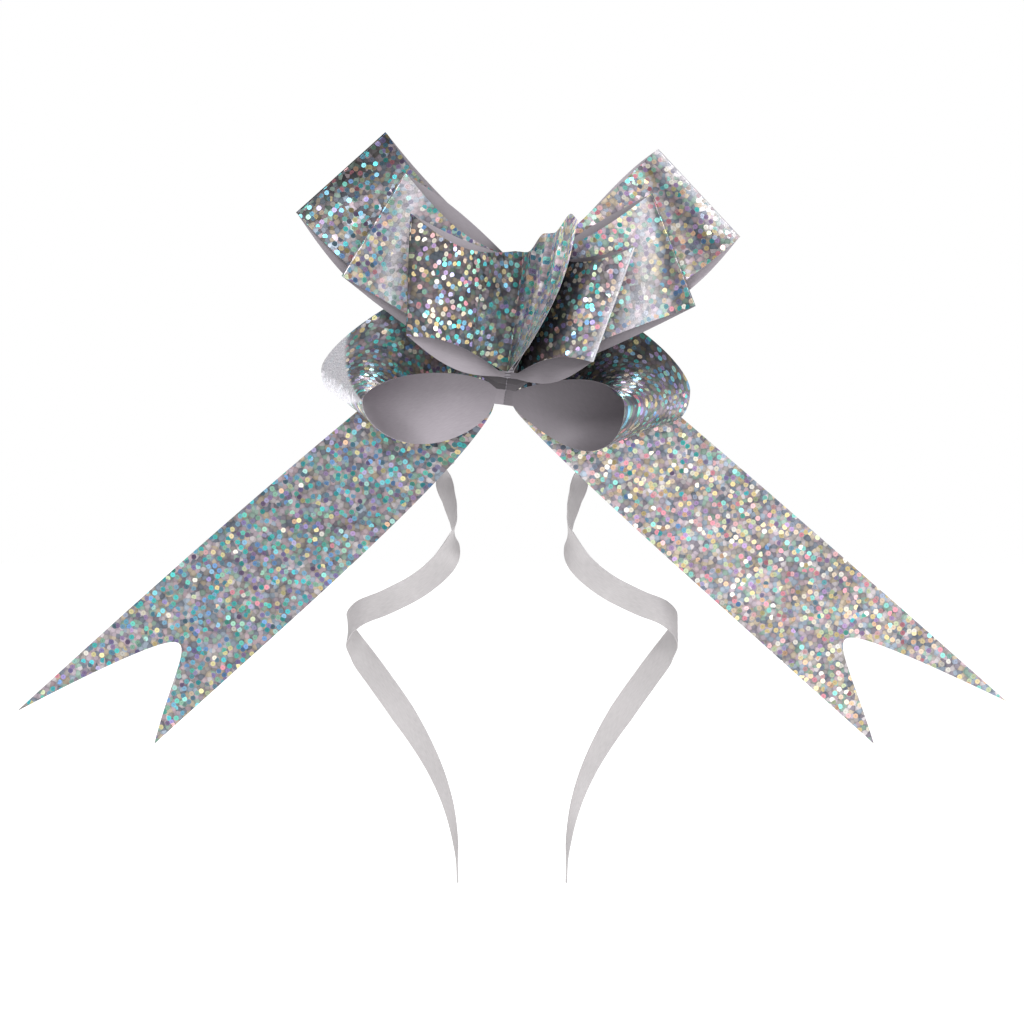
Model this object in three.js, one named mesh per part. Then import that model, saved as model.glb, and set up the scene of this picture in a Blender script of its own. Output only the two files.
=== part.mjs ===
// Pull bow of metallised dot film: two wide ribbons, left and right, welded together at five waists,
// gathered on two narrow pull ribbons. Millimetres, +X right, +Y back, +Z up.
// Everything is laid out from the middle of waist_weld_0, the rearmost waist. The finished group is
// then moved so that the origin is the middle of the flat patch above the slot on that weld's back
// face, which is where the bow is fastened.
import * as THREE from "three";
import { mergeVertices } from "three/addons/utils/BufferGeometryUtils.js";

// ---------------------------------------------------------------- film
const ribbonWidth = 31;
const filmThickness = 0.2;
const pieceGap = 0.3; // air between pieces that touch on the real bow

// ---------------------------------------------------------------- waists
const weldWidth = 3; // across the seal
const weldThickness = 0.8;
const weldTilt = 8; // degrees, the top of every weld leans to the right
const firstPitch = 7.5; // along the string, from weld 0 to weld 1
const laterPitch = 3; // along the string, between the later welds
const weldCount = 5;
const stringRise = 30; // degrees, the string climbs as it comes forward
const freeSwing = 8; // degrees, the most that a loop or a tail turns on its waist
const weldPlay = 1.5; // how far each weld slides along the string from the one behind it

// ---------------------------------------------------------------- pull ribbons
const pullWidth = 6.5;
const pullThickness = 0.25;
const pullSwing = 5; // degrees, how far a free pull ribbon swings either way
const pullTaper = 48; // length of the pointed end
const pullTipWidth = 0.9;
const straightShare = 0.05; // share of a free pull ribbon over which it turns out of the waist's plane
const curlLift = 0.8; // how far a stretch that runs backwards keeps its width upright

// ---------------------------------------------------------------- tails
const tailNotchDepth = 33;
const tailNotchRound = 0.24; // share of the half width that the notch's round bottom takes
const tailDrift = 3; // how far the tail ends stand behind their roots
const tailWave = 1.6;
// Ends of the two tips, across and up from the middle of weld 0, seen from the front: the inner tip
// is at the lower edge, the outer at the upper.
// dip and crown: how far the lower edge sags near the waist and the upper edge arches.
const tails = [
  { side: "left", innerTip: [-93.3, -103.7], outerTip: [-129.2, -95.2], dip: 5.2, crown: 2.2 },
  { side: "right", innerTip: [94.4, -103.7], outerTip: [129, -92.6], dip: 2, crown: 0.8 },
];

// ---------------------------------------------------------------- loops
// reach, fan: from the middle of the loop's waist to the middle of its fold, length and degrees
// above the horizontal. tilt: the fold's lean towards the centre line. swing: how far the fold's
// upper end lies behind its lower end. foldDepth: the fold's middle, ahead of the origin.
// The four rims puff forward and up by the millimetres given, most at the crest's share of the way out.
// A third value is that rim's own crest.
const creaseRadius = 0.5;
const comeForward = 3.2; // power of a round loop's depth: above 1 it leaves the waist flat, then comes forward
const loops = [
  {
    name: "loop_left_1", level: 0, reach: 45.7, fan: -16, tilt: -52, swing: 62, foldDepth: 17, round: true,
    rearLow: [0, -10.5], frontLow: [0, 6], rearHigh: [0, -7, 0.7], frontHigh: [-0.6, 7.5], crest: 0.34,
  },
  {
    name: "loop_right_1", level: 0, reach: 40.4, fan: -23.5, tilt: -74, swing: 54, foldDepth: 18, round: true,
    rearLow: [0, -11.1], frontLow: [0, 5.9], rearHigh: [0, -14], frontHigh: [-0.6, 6], crest: 0.44,
  },
  {
    name: "loop_left_2", level: 1, reach: 59.5, fan: 41.7, tilt: 48, swing: 0, foldDepth: 9.5, round: false,
    rearLow: [4.2, -5.6], frontLow: [4.8, -2.4], rearHigh: [-2, -1], frontHigh: [1, -3], crest: 0.68,
  },
  {
    name: "loop_right_2", level: 1, reach: 58.4, fan: 36, tilt: 43, swing: 0, foldDepth: 9.5, round: false,
    rearLow: [4.4, -5], frontLow: [5, -2], rearHigh: [-2, 1.5], frontHigh: [1, 0], crest: 0.72,
  },
  {
    name: "loop_left_3", level: 2, reach: 43.4, fan: 34, tilt: 31.5, swing: 0, foldDepth: 16.5, round: false,
    rearLow: [1, -1.5], frontLow: [2, 1], rearHigh: [-0.8, 1.6], frontHigh: [2, -4], crest: 0.5,
  },
  {
    name: "loop_right_3", level: 2, reach: 44, fan: 24, tilt: 21, swing: 0, foldDepth: 16.5, round: false,
    rearLow: [1, -1], frontLow: [2, 1], rearHigh: [-0.8, 1], frontHigh: [2, -2], crest: 0.5,
  },
  {
    name: "loop_left_4", level: 3, reach: 28.6, fan: 19.5, tilt: 2, swing: 0, foldDepth: 27, round: false,
    rearLow: [-1, -3], frontLow: [3, 2.4], rearHigh: [-1.2, -1], frontHigh: [2.6, -4], crest: 0.5,
  },
  {
    name: "loop_right_4", level: 3, reach: 24.6, fan: 5, tilt: -20, swing: 0, foldDepth: 25, round: false,
    rearLow: [-1, -3], frontLow: [3, 2.4], rearHigh: [-1.2, -1], frontHigh: [2.6, -3], crest: 0.5,
  },
];

// ---------------------------------------------------------------- end tabs
const tabs = [
  { name: "end_tab_front", lowEnd: [7.6, -28.5, 0.5], highEnd: [15.2, -30, 34], rootShift: 0, pleat: 1.1 },
  { name: "end_tab_rear", lowEnd: [9.4, -26, 3], highEnd: [15.8, -27.2, 30.5], rootShift: 1.2, pleat: -0.7 },
];

// Middle line of the left pull ribbon, from the middle of weld 0, from the end of the straight stretch
// to its point; the right one is its mirror image. One turn of a loose curl, then the pointed end.
const pullRoute = [
  [-2.4, 9.6, -6.4],
  [-6, 12.8, -11.6],
  [-10.6, 16, -17.6],
  [-15, 18.6, -23.2],
  [-18.2, 20, -28.6],
  [-18.4, 19.4, -33.6],
  [-16.8, 17.4, -39],
  [-15.4, 14.6, -44.6],
  [-15.1, 11.8, -50],
  [-17.4, 9.8, -56],
  [-24, 9.2, -62],
  [-33, 10.4, -66.8],
  [-40.4, 13.2, -70],
  [-43.4, 17.4, -74],
  [-40.8, 20.8, -79.6],
  [-35.6, 22, -87],
  [-29.8, 22.2, -95.2],
  [-24.4, 21.6, -103.6],
  [-19.8, 20.2, -112.4],
  [-16.6, 18.6, -121.4],
  [-14.8, 17, -131],
  [-14.3, 15.6, -140.9],
];

// ---------------------------------------------------------------- grid fineness
const legSteps = 9;
const creaseSteps = 3;
const acrossSteps = 3;
const tailSteps = 12;
const tailAcross = 10;
const tabSteps = 5;
const pullSteps = 60;

// ---------------------------------------------------------------- materials
const filmFront = new THREE.MeshStandardMaterial({ color: 0xb9bcc4, roughness: 0.28, metalness: 0.9 });
const pullFilm = new THREE.MeshStandardMaterial({ color: 0xc8c4c6, roughness: 0.42, metalness: 0.35 });
const weldFilm = new THREE.MeshStandardMaterial({ color: 0x9b979c, roughness: 0.35, metalness: 0.8 });

// ---------------------------------------------------------------- worked out from the sizes above
const radians = THREE.MathUtils.degToRad;
const along = (a, b, share) => a.clone().lerp(b, share);
const alongWeld = new THREE.Vector3(Math.sin(radians(weldTilt)), 0, Math.cos(radians(weldTilt)));
const acrossWeld = new THREE.Vector3(Math.cos(radians(weldTilt)), 0, -Math.sin(radians(weldTilt)));
const forward = new THREE.Vector3(0, -1, 0);
const up = new THREE.Vector3(0, 0, 1);
const stringAxis = forward.clone().multiplyScalar(Math.cos(radians(stringRise)));
stringAxis.addScaledVector(alongWeld, Math.sin(radians(stringRise)));

// A film edge starts this far to the side of the waist's middle, so that it can swing freely.
const rootOffset = pieceGap + (ribbonWidth / 2) * Math.sin(radians(freeSwing));
const rootDepth = weldThickness / 2 + pieceGap + filmThickness / 2;
const pullOffset = (pieceGap + pullThickness) / 2;
// The string crosses the welds at a slant, so its section there is longer than its width.
const stringSection = pullWidth / Math.cos(radians(stringRise));
const slotLength = stringSection + weldThickness * Math.tan(radians(stringRise)) + 2 * pieceGap;
// The straight stretch behind weld 0 is long enough for the last weld to carry the string forward.
const exitLength = weldThickness + (weldCount - 1) * weldPlay;
const pullClear = (stringSection / 2) * Math.sin(radians(pullSwing));
const slotWidth = 2 * (pullOffset + pullThickness / 2 + pieceGap);

function waistMiddle(level) {
  const travelled = level === 0 ? 0 : firstPitch + (level - 1) * laterPitch;
  return stringAxis.clone().multiplyScalar(travelled);
}

// The point of a waist's line at a share of the film's width, 0 at its lower end and 1 at its upper.
function waistPoint(level, share) {
  return waistMiddle(level).addScaledVector(alongWeld, (share - 0.5) * ribbonWidth);
}

// ---------------------------------------------------------------- closed solids
// Gives a surface, a grid of points in rows, its thickness: two skins and a wall round the edge.
function filmSolid(rows, thickness) {
  const rowCount = rows.length;
  const width = rows[0].length;
  const count = rowCount * width;
  const positions = new Float32Array(count * 2 * 3);
  for (let i = 0; i < rowCount; i += 1) {
    for (let j = 0; j < width; j += 1) {
      const before = rows[Math.max(i - 1, 0)][j];
      const after = rows[Math.min(i + 1, rowCount - 1)][j];
      const left = rows[i][Math.max(j - 1, 0)];
      const right = rows[i][Math.min(j + 1, width - 1)];
      const normal = after.clone().sub(before).cross(right.clone().sub(left)).normalize();
      const index = i * width + j;
      const top = rows[i][j].clone().addScaledVector(normal, thickness / 2);
      const bottom = rows[i][j].clone().addScaledVector(normal, -thickness / 2);
      positions.set(top.toArray(), index * 3);
      positions.set(bottom.toArray(), (count + index) * 3);
    }
  }
  const triangles = [];
  const quad = (a, b, c, d) => triangles.push(a, b, c, a, c, d);
  for (let i = 0; i + 1 < rowCount; i += 1) {
    for (let j = 0; j + 1 < width; j += 1) {
      const a = i * width + j;
      const b = a + width;
      quad(a, b, b + 1, a + 1);
      quad(count + a, count + a + 1, count + b + 1, count + b);
    }
  }
  for (let i = 0; i + 1 < rowCount; i += 1) {
    const first = i * width;
    const last = first + width - 1;
    quad(first, count + first, count + first + width, first + width);
    quad(last, last + width, count + last + width, count + last);
  }
  for (let j = 0; j + 1 < width; j += 1) {
    const last = (rowCount - 1) * width + j;
    quad(j, j + 1, count + j + 1, count + j);
    quad(last, count + last, count + last + 1, last + 1);
  }
  const geometry = new THREE.BufferGeometry();
  geometry.setAttribute("position", new THREE.BufferAttribute(positions, 3));
  geometry.setIndex(triangles);
  return geometry;
}

function named(name, geometry, material) {
  const mesh = new THREE.Mesh(geometry, material);
  mesh.name = name;
  return mesh;
}

// ---------------------------------------------------------------- waist welds
function waistWeld(level) {
  const half = { x: weldWidth / 2, z: ribbonWidth / 2 };
  const outline = new THREE.Shape();
  outline.moveTo(-half.x, -half.z);
  outline.lineTo(half.x, -half.z);
  outline.lineTo(half.x, half.z);
  outline.lineTo(-half.x, half.z);
  outline.closePath();
  if (level < weldCount - 1) {
    const slot = new THREE.Path();
    slot.moveTo(-slotWidth / 2, -slotLength / 2);
    slot.lineTo(-slotWidth / 2, slotLength / 2);
    slot.lineTo(slotWidth / 2, slotLength / 2);
    slot.lineTo(slotWidth / 2, -slotLength / 2);
    slot.closePath();
    outline.holes.push(slot);
  }
  const extruded = new THREE.ExtrudeGeometry(outline, { depth: weldThickness, bevelEnabled: false });
  extruded.deleteAttribute("normal");
  extruded.deleteAttribute("uv");
  const geometry = mergeVertices(extruded);
  geometry.translate(0, 0, -weldThickness / 2);
  // The outline's own plane becomes the upright plane of the waist.
  geometry.rotateX(Math.PI / 2);
  geometry.rotateY(radians(weldTilt));
  const middle = waistMiddle(level);
  geometry.translate(middle.x, middle.y, middle.z);
  return named(`waist_weld_${level}`, geometry, weldFilm);
}

// ---------------------------------------------------------------- loops
function loopFold(loop, side, share) {
  const waist = along(waistMiddle(loop.level), waistMiddle(loop.level + 1), 0.5);
  const fan = radians(loop.fan);
  const middle = new THREE.Vector3(
    waist.x + side * loop.reach * Math.cos(fan),
    -loop.foldDepth,
    waist.z + loop.reach * Math.sin(fan),
  );
  const tilt = radians(loop.tilt);
  const swing = radians(loop.swing);
  const direction = new THREE.Vector3(
    -side * Math.sin(tilt) * Math.cos(swing),
    Math.sin(swing),
    Math.cos(tilt) * Math.cos(swing),
  );
  return middle.addScaledVector(direction, (share - 0.5) * ribbonWidth);
}

// A point of one leg: travel runs from 0 at the waist to 1 at the fold.
function legPoint(loop, side, isFront, share, travel) {
  const level = isFront ? loop.level + 1 : loop.level;
  const turn = isFront ? 1 : -1;
  const root = waistPoint(level, share).addScaledVector(acrossWeld, side * rootOffset);
  root.addScaledVector(forward, -turn * rootDepth);
  const fold = loopFold(loop, side, share);
  const low = isFront ? loop.frontLow : loop.rearLow;
  const high = isFront ? loop.frontHigh : loop.rearHigh;
  const bulge = (rim) => Math.sin(Math.PI * travel ** (Math.log(0.5) / Math.log(rim[2] ?? loop.crest)));
  const puff = (index) => THREE.MathUtils.lerp(low[index] * bulge(low), high[index] * bulge(high), share);
  const reached = loop.round ? 1 - (1 - travel) ** 2 : travel;
  const point = along(root, fold, reached);
  if (loop.round) {
    point.y = THREE.MathUtils.lerp(root.y, fold.y, reached ** comeForward);
  } else {
    point.addScaledVector(forward, turn * creaseRadius * travel);
  }
  point.addScaledVector(forward, puff(0));
  point.addScaledVector(up, puff(1));
  return point;
}

function ribbonLoop(loop) {
  const side = loop.name.includes("left") ? -1 : 1;
  const shares = Array.from({ length: acrossSteps + 1 }, (_, j) => j / acrossSteps);
  const rows = [];
  for (let i = 0; i <= legSteps; i += 1) {
    rows.push(shares.map((share) => legPoint(loop, side, false, share, i / legSteps)));
  }
  if (!loop.round) {
    const outward = new THREE.Vector3(side * Math.cos(radians(loop.fan)), 0, Math.sin(radians(loop.fan)));
    for (let i = 1; i < creaseSteps; i += 1) {
      const turned = (Math.PI * i) / creaseSteps;
      rows.push(shares.map((share) => {
        const point = loopFold(loop, side, share);
        point.addScaledVector(outward, creaseRadius * Math.sin(turned));
        return point.addScaledVector(forward, -creaseRadius * Math.cos(turned));
      }));
    }
  }
  const firstBack = loop.round ? legSteps - 1 : legSteps;
  for (let i = firstBack; i >= 0; i -= 1) {
    rows.push(shares.map((share) => legPoint(loop, side, true, share, i / legSteps)));
  }
  if (side > 0) {
    rows.reverse();
  }
  return named(loop.name, filmSolid(rows, filmThickness), filmFront);
}

// ---------------------------------------------------------------- tails
// How far along the tail the cut end lies at a share of the width: two points and a round-bottomed notch.
function tailEnd(share, length) {
  const fromMiddle = Math.abs(2 * share - 1);
  const rounded = Math.sqrt(fromMiddle ** 2 + tailNotchRound ** 2) - tailNotchRound;
  const most = Math.sqrt(1 + tailNotchRound ** 2) - tailNotchRound;
  return (length - tailNotchDepth * (1 - rounded / most)) / length;
}

function tail(spec) {
  const side = spec.side === "left" ? -1 : 1;
  const rootLow = waistPoint(0, 0).addScaledVector(acrossWeld, side * rootOffset);
  const rootHigh = waistPoint(0, 1).addScaledVector(acrossWeld, side * rootOffset);
  const rootBack = rootLow.y + rootDepth;
  const tipLow = new THREE.Vector3(spec.innerTip[0], rootBack, spec.innerTip[1]);
  const tipHigh = new THREE.Vector3(spec.outerTip[0], rootBack, spec.outerTip[1]);
  rootLow.y = rootBack;
  rootHigh.y = rootBack;
  const length = (tipLow.distanceTo(rootLow) + tipHigh.distanceTo(rootHigh)) / 2;
  const rows = [];
  for (let i = 0; i <= tailSteps; i += 1) {
    const row = [];
    for (let j = 0; j <= tailAcross; j += 1) {
      const share = j / tailAcross;
      const travel = (i / tailSteps) * tailEnd(share, length);
      const point = along(along(rootLow, rootHigh, share), along(tipLow, tipHigh, share), travel);
      point.y += tailDrift * travel + tailWave * Math.sin(Math.PI * travel) ** 2;
      point.z -= spec.dip * (1 - share) * Math.sin(Math.PI * Math.sqrt(travel));
      point.z += spec.crown * share * Math.sin(Math.PI * travel);
      row.push(point);
    }
    rows.push(side < 0 ? row : row.reverse());
  }
  return named(`tail_${spec.side}`, filmSolid(rows, filmThickness), filmFront);
}

// ---------------------------------------------------------------- end tabs
function endTab(spec) {
  const lastWeld = weldCount - 1;
  const lowEnd = new THREE.Vector3(...spec.lowEnd);
  const highEnd = new THREE.Vector3(...spec.highEnd);
  const rows = [];
  for (let i = 0; i <= tabSteps; i += 1) {
    const travel = i / tabSteps;
    const row = [];
    for (let j = 0; j <= tailAcross; j += 1) {
      const share = j / tailAcross;
      const root = waistPoint(lastWeld, share).addScaledVector(acrossWeld, spec.rootShift);
      root.addScaledVector(forward, rootDepth);
      const point = along(root, along(lowEnd, highEnd, share), travel);
      point.x += spec.pleat * Math.sin(3 * Math.PI * share) * travel;
      row.push(point);
    }
    rows.push(row.reverse());
  }
  return named(spec.name, filmSolid(rows, filmThickness), filmFront);
}

// ---------------------------------------------------------------- pull ribbons
// The straight stretch that threads the welds, from behind weld 0 up to the last weld.
function stringRun(sideName) {
  const side = sideName === "left" ? -1 : 1;
  const front = waistMiddle(weldCount - 1);
  front.addScaledVector(stringAxis, -(weldThickness / 2 + pieceGap) / Math.cos(radians(stringRise)));
  const back = stringAxis.clone().multiplyScalar(-exitLength);
  const rows = [back, front].map((place) => [-0.5, 0.5].map((share) => place
    .clone()
    .addScaledVector(acrossWeld, side * pullOffset)
    .addScaledVector(alongWeld, share * stringSection)));
  return named(`string_run_${sideName}`, filmSolid(rows, pullThickness), pullFilm);
}

function pullRibbon(sideName) {
  const side = sideName === "left" ? -1 : 1;
  const start = stringAxis.clone().multiplyScalar(-(exitLength + pieceGap + pullClear));
  start.addScaledVector(acrossWeld, side * (pullOffset + pullClear));
  const leaving = start.clone().addScaledVector(stringAxis, -1);
  leaving.addScaledVector(acrossWeld, side * pullThickness);
  const points = pullRoute.map(([x, y, z]) => new THREE.Vector3(-side * x, y, z));
  const route = new THREE.CatmullRomCurve3([start, leaving, ...points], false, "centripetal");
  const length = route.getLength();
  const rows = [];
  for (let i = 0; i <= pullSteps; i += 1) {
    const travel = i / pullSteps;
    const middle = route.getPointAt(travel);
    const direction = route.getTangentAt(travel);
    // A curled ribbon keeps its width along the curl's upright axis, square to its own run or, where
    // it runs backwards, nearer to upright. Where it leaves the waist it still has the slanted
    // section of the straight stretch.
    const squared = 1 - curlLift * Math.max(0, direction.y);
    const widthways = up.clone().addScaledVector(direction, -up.dot(direction) * squared).normalize();
    const straight = alongWeld.clone().multiplyScalar(stringSection / pullWidth);
    widthways.lerp(straight, Math.max(0, 1 - travel / straightShare));
    const left = length * (1 - travel);
    const width = THREE.MathUtils.lerp(pullTipWidth, pullWidth, Math.min(1, left / pullTaper));
    rows.push([-0.5, 0.5].map((share) => middle.clone().addScaledVector(widthways, share * width)));
  }
  return named(`pull_ribbon_${sideName}`, filmSolid(rows, pullThickness), pullFilm);
}

// ---------------------------------------------------------------- the bow
const bow = new THREE.Group();
for (let level = 0; level < weldCount; level += 1) {
  bow.add(waistWeld(level));
}
bow.add(...loops.map(ribbonLoop));
bow.add(...tails.map(tail));
bow.add(...tabs.map(endTab));
for (const sideName of ["left", "right"]) {
  bow.add(stringRun(sideName));
  bow.add(pullRibbon(sideName));
}

const patchHeight = (slotLength / 2 + ribbonWidth / 2) / 2;
const fastening = alongWeld.clone().multiplyScalar(patchHeight);
fastening.y = weldThickness / 2;
bow.position.copy(fastening).negate();

export default bow;
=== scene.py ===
import math

import bpy
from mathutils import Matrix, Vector, noise


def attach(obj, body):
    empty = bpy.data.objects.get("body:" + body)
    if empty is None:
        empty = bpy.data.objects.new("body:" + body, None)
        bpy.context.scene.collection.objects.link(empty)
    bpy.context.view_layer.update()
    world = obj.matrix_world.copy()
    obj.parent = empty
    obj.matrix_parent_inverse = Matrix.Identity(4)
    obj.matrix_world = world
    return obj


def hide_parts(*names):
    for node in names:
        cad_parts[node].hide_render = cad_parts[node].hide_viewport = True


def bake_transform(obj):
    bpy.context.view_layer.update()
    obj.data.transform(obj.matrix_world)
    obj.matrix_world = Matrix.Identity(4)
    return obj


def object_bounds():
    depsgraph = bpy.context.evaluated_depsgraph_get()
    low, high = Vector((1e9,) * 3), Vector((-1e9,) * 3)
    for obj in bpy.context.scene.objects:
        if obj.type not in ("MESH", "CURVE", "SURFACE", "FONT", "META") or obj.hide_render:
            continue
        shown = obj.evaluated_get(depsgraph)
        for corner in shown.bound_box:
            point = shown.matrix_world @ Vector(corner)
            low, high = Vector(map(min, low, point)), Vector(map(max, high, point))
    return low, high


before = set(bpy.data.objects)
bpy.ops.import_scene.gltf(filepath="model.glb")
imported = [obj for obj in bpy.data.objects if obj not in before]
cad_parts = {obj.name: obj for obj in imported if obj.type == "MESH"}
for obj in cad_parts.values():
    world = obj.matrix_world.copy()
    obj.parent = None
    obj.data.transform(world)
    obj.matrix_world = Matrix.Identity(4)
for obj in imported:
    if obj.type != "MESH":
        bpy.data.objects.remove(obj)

cad_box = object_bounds()

# ---------------------------------------------------------------- film and waists
RIBBON_WIDTH = 0.031
FILM_THICKNESS = 0.00012
PIECE_GAP = 0.0003
CAD_FILM_THICKNESS = 0.0002
WELD_THICKNESS = 0.0008
WELD_TILT = math.radians(8)
FIRST_PITCH = 0.0075
LATER_PITCH = 0.003
WELD_COUNT = 5
STRING_RISE = math.radians(30)
FREE_SWING = math.radians(8)  # swing that the CAD's loops and tails keep clear of the weld
WELD_PLAY = 0.0015  # how far each weld slides from the one behind it
WELD_SKIN = 0.00055  # a film's middle lies this far from the middle of the weld that it is sealed to
# Half the gap between the left and the right ribbon at each weld, wider where the string slides by.
SEAM_GAPS = [0.00012, 0.00012, 0.00012, 0.00075, 0.00075]

# ---------------------------------------------------------------- pull ribbons
PULL_WIDTH = 0.0065
PULL_THICKNESS = 0.00025
PULL_SWING = math.radians(5)
PULL_TAPER = 0.048
PULL_TIP_WIDTH = 0.0009
PULL_CAMBER = 0.00022  # how far the middle of a pull ribbon stands out from its edges
STRAIGHT_SHARE = 0.05  # share of its length over which it turns from the string's section to its own
PULL_LEAVE = 0.001  # it leaves the weld straight over this length
CURL_LIFT = 0.8  # how far a stretch that runs backwards keeps its width upright
PULL_ROUTE = [
    (-0.0024, 0.0096, -0.0064),
    (-0.0060, 0.0128, -0.0116),
    (-0.0106, 0.0160, -0.0176),
    (-0.0150, 0.0186, -0.0232),
    (-0.0182, 0.0200, -0.0286),
    (-0.0184, 0.0194, -0.0336),
    (-0.0168, 0.0174, -0.0390),
    (-0.0154, 0.0146, -0.0446),
    (-0.0151, 0.0118, -0.0500),
    (-0.0174, 0.0098, -0.0560),
    (-0.0240, 0.0092, -0.0620),
    (-0.0330, 0.0104, -0.0668),
    (-0.0404, 0.0132, -0.0700),
    (-0.0434, 0.0174, -0.0740),
    (-0.0408, 0.0208, -0.0796),
    (-0.0356, 0.0220, -0.0870),
    (-0.0298, 0.0222, -0.0952),
    (-0.0244, 0.0216, -0.1036),
    (-0.0198, 0.0202, -0.1124),
    (-0.0166, 0.0186, -0.1214),
    (-0.0148, 0.0170, -0.1310),
    (-0.0143, 0.0156, -0.1409),
]

# ---------------------------------------------------------------- tails
TAIL_NOTCH_DEPTH = 0.033
TAIL_NOTCH_ROUND = 0.24
TAIL_DRIFT = 0.003  # how far the tips lie behind the waist
TAIL_WAVE = 0.0016
TAIL_FLUTTER = 0.0006
TAIL_FLUTTER_FROM = 0.15  # the flutter is full from this share of the length
TAILS = {
    "left": dict(inner_tip=(-0.0933, -0.1037), outer_tip=(-0.1292, -0.0952), dip=0.0052, crown=0.0022),
    "right": dict(inner_tip=(0.0944, -0.1037), outer_tip=(0.129, -0.0926), dip=0.0020, crown=0.0008),
}

# ---------------------------------------------------------------- loops
# reach and fan: from the waist to the middle of the fold. tilt: the fold's lean towards the centre
# line. swing: how far its upper end lies behind its lower end. Each rim puffs (forward, up) by the
# amounts given, most at the crest's share of the way out; a third value is that rim's own crest.
CREASE_RADIUS = 0.0005
COME_FORWARD = 3.2  # above 1 a round loop comes forward late in its way out
LOOP_FLUTTER = 0.0005
FLUTTER_SCALE = 70  # bumps of the film's unevenness in a metre
LOOPS = {
    "loop_left_1": dict(
        level=0, reach=0.0457, fan=-16, tilt=-52, swing=62, fold_depth=0.017, is_round=True, crest=0.34,
        rear_low=(0, -0.0105), front_low=(0, 0.006), rear_high=(0, -0.007, 0.7),
        front_high=(-0.0006, 0.0075),
    ),
    "loop_right_1": dict(
        level=0, reach=0.0404, fan=-23.5, tilt=-74, swing=54, fold_depth=0.018, is_round=True, crest=0.44,
        rear_low=(0, -0.0111), front_low=(0, 0.0059), rear_high=(0, -0.014), front_high=(-0.0006, 0.006),
    ),
    "loop_left_2": dict(
        level=1, reach=0.0595, fan=41.7, tilt=48, swing=0, fold_depth=0.0095, is_round=False, crest=0.68,
        rear_low=(0.0042, -0.0056), front_low=(0.0048, -0.0024), rear_high=(-0.002, -0.001),
        front_high=(0.001, -0.003),
    ),
    "loop_right_2": dict(
        level=1, reach=0.0584, fan=36, tilt=43, swing=0, fold_depth=0.0095, is_round=False, crest=0.72,
        rear_low=(0.0044, -0.005), front_low=(0.005, -0.002), rear_high=(-0.002, 0.0015),
        front_high=(0.001, 0),
    ),
    "loop_left_3": dict(
        level=2, reach=0.0434, fan=34, tilt=31.5, swing=0, fold_depth=0.0165, is_round=False, crest=0.5,
        rear_low=(0.001, -0.0015), front_low=(0.002, 0.001), rear_high=(-0.0008, 0.0016),
        front_high=(0.002, -0.004),
    ),
    "loop_right_3": dict(
        level=2, reach=0.044, fan=24, tilt=21, swing=0, fold_depth=0.0165, is_round=False, crest=0.5,
        rear_low=(0.001, -0.001), front_low=(0.002, 0.001), rear_high=(-0.0008, 0.001),
        front_high=(0.002, -0.002),
    ),
    "loop_left_4": dict(
        level=3, reach=0.0286, fan=19.5, tilt=2, swing=0, fold_depth=0.027, is_round=False, crest=0.5,
        rear_low=(-0.001, -0.003), front_low=(0.003, 0.0024), rear_high=(-0.0012, -0.001),
        front_high=(0.0026, -0.004),
    ),
    "loop_right_4": dict(
        level=3, reach=0.0246, fan=5, tilt=-20, swing=0, fold_depth=0.025, is_round=False, crest=0.5,
        rear_low=(-0.001, -0.003), front_low=(0.003, 0.0024), rear_high=(-0.0012, -0.001),
        front_high=(0.0026, -0.003),
    ),
}

# ---------------------------------------------------------------- end tabs
TABS = {
    "end_tab_front": dict(
        low_end=(0.0042, -0.0275, -0.0012), high_end=(0.0168, -0.030, 0.0326), root_shift=0.0, bow=0.0024,
    ),
    "end_tab_rear": dict(
        low_end=(0.0052, -0.0252, 0.0012), high_end=(0.0160, -0.0272, 0.0295), root_shift=0.0012, bow=0.0020,
    ),
}
TAB_OVERLAP = 0.3  # share of the last left loop's front leg over which the front tab's film starts
TAB_PROUD = 0.00016
TAB_RISE = 1.35  # above 1 the tab leaves the weld flat, then stands out
TAB_PLEATS = 3.5
TAB_PLEAT = 0.0008
TAB_LOW_PLEAT = 0.3  # share of the pleats' depth that reaches the lower edge
TAB_STEPS_UP = 2  # steps in the pleated upper edge
TAB_STEP_RUN = (0.1, 0.75)  # where in its own run each step climbs
TAB_STEP_FROM = 0.55  # the steps fade out below this share of the width
TAB_CORNER = 0.0018  # how much of the upper corner is rounded off
TAB_CORNER_FROM = (0.86, 0.85)  # the corner starts at this share of the length and of the width

# ---------------------------------------------------------------- grid fineness
LEG_STEPS = 64
CREASE_STEPS = 10
ACROSS_STEPS = 28
SEAL_STEPS = 4
TAIL_STEPS = 150
TAIL_ACROSS = 40
TAB_STEPS = 60
TAB_JOIN_STEPS = 16
PULL_STEPS = 260
PULL_ACROSS = 6
CURVE_STEPS = 24  # between two points of the pull ribbon's route
SMOOTH_ANGLE = math.radians(50)
MILLIMETRES = 1000  # in a metre: the film's pattern is laid out in millimetres

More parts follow.
